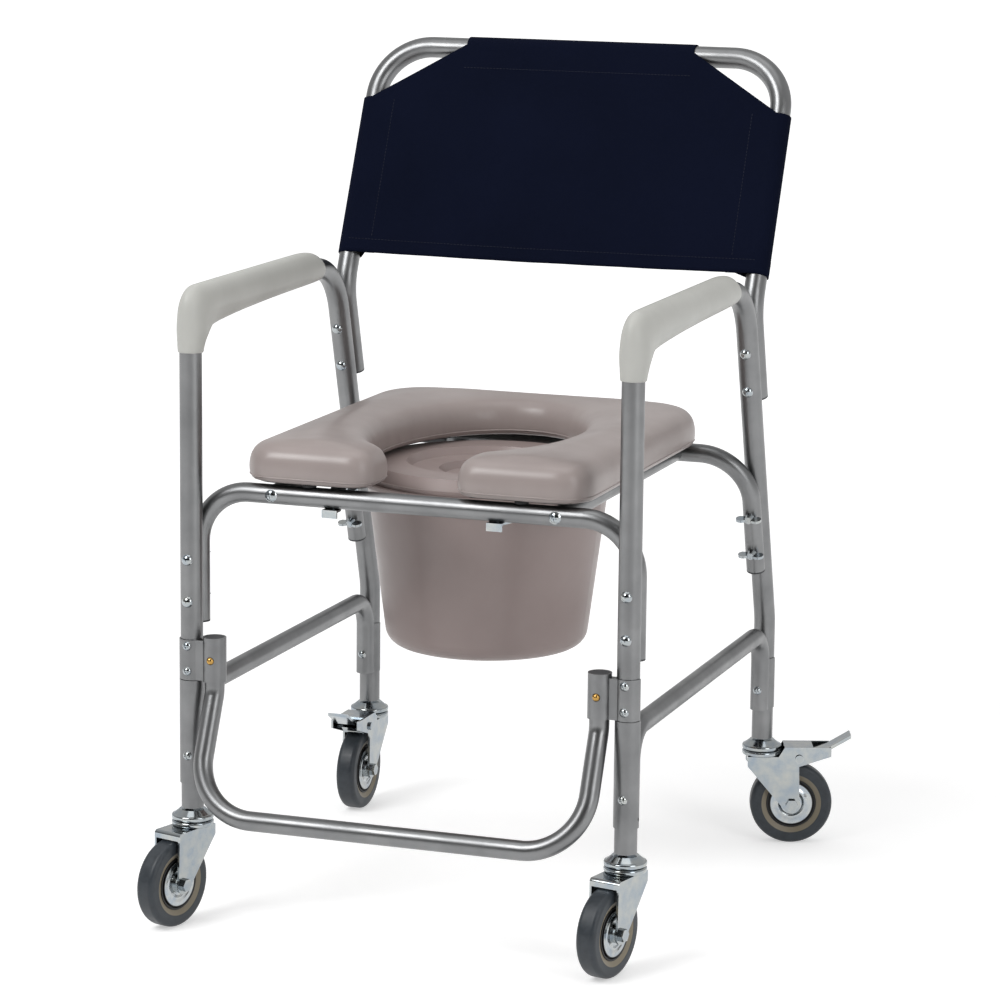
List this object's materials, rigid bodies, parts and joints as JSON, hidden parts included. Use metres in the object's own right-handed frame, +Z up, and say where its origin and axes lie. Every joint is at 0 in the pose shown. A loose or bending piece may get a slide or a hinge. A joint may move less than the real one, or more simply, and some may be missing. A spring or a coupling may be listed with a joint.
{
  "type": "shower commode chair",
  "caption": "Bent-tube shower commode chair on swivel casters, with a padded horseshoe seat, a bucket under it, arm rests, a cloth backrest and a removable footrest.",
  "frame": {"origin": "on the floor, midway between the four legs", "axes": "+Z up, -Y the way the chair faces, +X to the right as seen from the front"},
  "size_m": [0.6568, 0.6924, 0.9687],
  "materials": {
    "aluminium_tube": "satin anodised",
    "zinc_steel": "zinc plated",
    "button_brass": "polished",
    "arm_cover": "matte",
    "dark_plastic": "matte",
    "sling_cloth": "woven",
    "bucket_plastic": "semi-gloss",
    "seat_padding": "moulded foam with a smooth skin",
    "bumper_rubber": "matte",
    "hub_plastic": "matte",
    "tyre_rubber": "matte"
  },
  "bodies": {
    "frame": {"side_frame_left": "aluminium_tube", "side_frame_right": "aluminium_tube", "lower_frame_left": "aluminium_tube", "lower_frame_right": "aluminium_tube", "arm_pad_left": "arm_cover", "arm_pad_right": "arm_cover", "front_crossbar": "aluminium_tube", "rear_crossbar": "aluminium_tube", "seat_rail_left": "aluminium_tube", "seat_rail_right": "aluminium_tube", "rail_plugs": "dark_plastic", "rail_screws": "zinc_steel", "crossbar_bolts": "zinc_steel", "crossbar_nuts": "zinc_steel", "wing_bolts": "zinc_steel", "wing_nuts": "zinc_steel", "backrest_tube": "aluminium_tube", "backrest_sling": "sling_cloth", "backrest_bolts": "zinc_steel", "backrest_nuts": "zinc_steel", "tube_end_caps": "dark_plastic", "footrest_bracket_left": "aluminium_tube", "footrest_bracket_right": "aluminium_tube", "bracket_screws": "zinc_steel", "leg_screws": "zinc_steel", "bucket_hanger_left": "zinc_steel", "bucket_hanger_right": "zinc_steel", "hanger_screws": "zinc_steel", "bucket": "bucket_plastic", "bucket_lid": "bucket_plastic", "caster_mount_fl": "zinc_steel", "caster_mount_fr": "zinc_steel", "caster_mount_rl": "zinc_steel", "caster_mount_rr": "zinc_steel"},
    "seat": {"seat_pad": "seat_padding", "seat_base": "dark_plastic", "seat_clips": "dark_plastic", "seat_bumpers": "bumper_rubber"},
    "footrest": {"footrest_bar": "aluminium_tube", "footrest_plugs": "dark_plastic"},
    "button_left": {"snap_button_left": "button_brass"},
    "button_right": {"snap_button_right": "button_brass"},
    "fork_fl": {"caster_fork_fl": "zinc_steel", "caster_axle_fl": "zinc_steel"},
    "wheel_fl": {"caster_hub_fl": "hub_plastic", "caster_tyre_fl": "tyre_rubber"},
    "fork_fr": {"caster_fork_fr": "zinc_steel", "caster_axle_fr": "zinc_steel"},
    "wheel_fr": {"caster_hub_fr": "hub_plastic", "caster_tyre_fr": "tyre_rubber"},
    "fork_rl": {"caster_fork_rl": "zinc_steel", "caster_axle_rl": "zinc_steel"},
    "wheel_rl": {"caster_hub_rl": "hub_plastic", "caster_tyre_rl": "tyre_rubber"},
    "fork_rr": {"caster_fork_rr": "zinc_steel", "caster_axle_rr": "zinc_steel"},
    "wheel_rr": {"caster_hub_rr": "hub_plastic", "caster_tyre_rr": "tyre_rubber"},
    "pedal_rl": {"brake_pedal_rl": "zinc_steel"},
    "pedal_rr": {"brake_pedal_rr": "zinc_steel"}
  },
  "joints": [
    {"name": "seat_hinge", "type": "hinge", "parent": "frame", "child": "seat", "pos_m": [0, 0.18588, 0.494], "axis": [-1, 0, 0], "range_deg": [0, 65]},
    {"name": "footrest_slide", "type": "slide", "parent": "frame", "child": "footrest", "axis": [0, 0, -1], "range_m": [0, 0.03], "deforming": ["snap_button_left", "snap_button_right"]},
    {"name": "button_press_left", "type": "slide", "parent": "footrest", "child": "button_left", "axis": [0, 1, 0], "range_m": [0, 0.004], "stiffness_N_per_m": 1500},
    {"name": "button_press_right", "type": "slide", "parent": "footrest", "child": "button_right", "axis": [0, 1, 0], "range_m": [0, 0.004], "stiffness_N_per_m": 1500},
    {"name": "swivel_fl", "type": "hinge", "parent": "frame", "child": "fork_fl", "pos_m": [-0.258, -0.274, 0.12], "axis": [0, 0, 1], "continuous": true},
    {"name": "roll_fl", "type": "hinge", "parent": "fork_fl", "child": "wheel_fl", "pos_m": [-0.2682, -0.30957, 0.05], "axis": [0.9613, -0.2756, 0], "continuous": true},
    {"name": "swivel_fr", "type": "hinge", "parent": "frame", "child": "fork_fr", "pos_m": [0.258, -0.274, 0.12], "axis": [0, 0, 1], "continuous": true},
    {"name": "roll_fr", "type": "hinge", "parent": "fork_fr", "child": "wheel_fr", "pos_m": [0.24999, -0.31012, 0.05], "axis": [0.9763, -0.2164, 0], "continuous": true},
    {"name": "swivel_rl", "type": "hinge", "parent": "frame", "child": "fork_rl", "pos_m": [-0.258, 0.274, 0.12], "axis": [0, 0, 1], "continuous": true},
    {"name": "roll_rl", "type": "hinge", "parent": "fork_rl", "child": "wheel_rl", "pos_m": [-0.258, 0.237, 0.05], "axis": [1, 0, 0], "continuous": true},
    {"name": "swivel_rr", "type": "hinge", "parent": "frame", "child": "fork_rr", "pos_m": [0.258, 0.274, 0.12], "axis": [0, 0, 1], "continuous": true},
    {"name": "roll_rr", "type": "hinge", "parent": "fork_rr", "child": "wheel_rr", "pos_m": [0.29277, 0.28665, 0.05], "axis": [-0.342, 0.9397, 0], "continuous": true},
    {"name": "brake_rl", "type": "hinge", "parent": "fork_rl", "child": "pedal_rl", "pos_m": [-0.258, 0.229, 0.108], "axis": [1, 0, 0], "range_deg": [0, 10]},
    {"name": "brake_rr", "type": "hinge", "parent": "fork_rr", "child": "pedal_rr", "pos_m": [0.30029, 0.28939, 0.108], "axis": [-0.342, 0.9397, 0], "range_deg": [0, 10]}
  ]
}
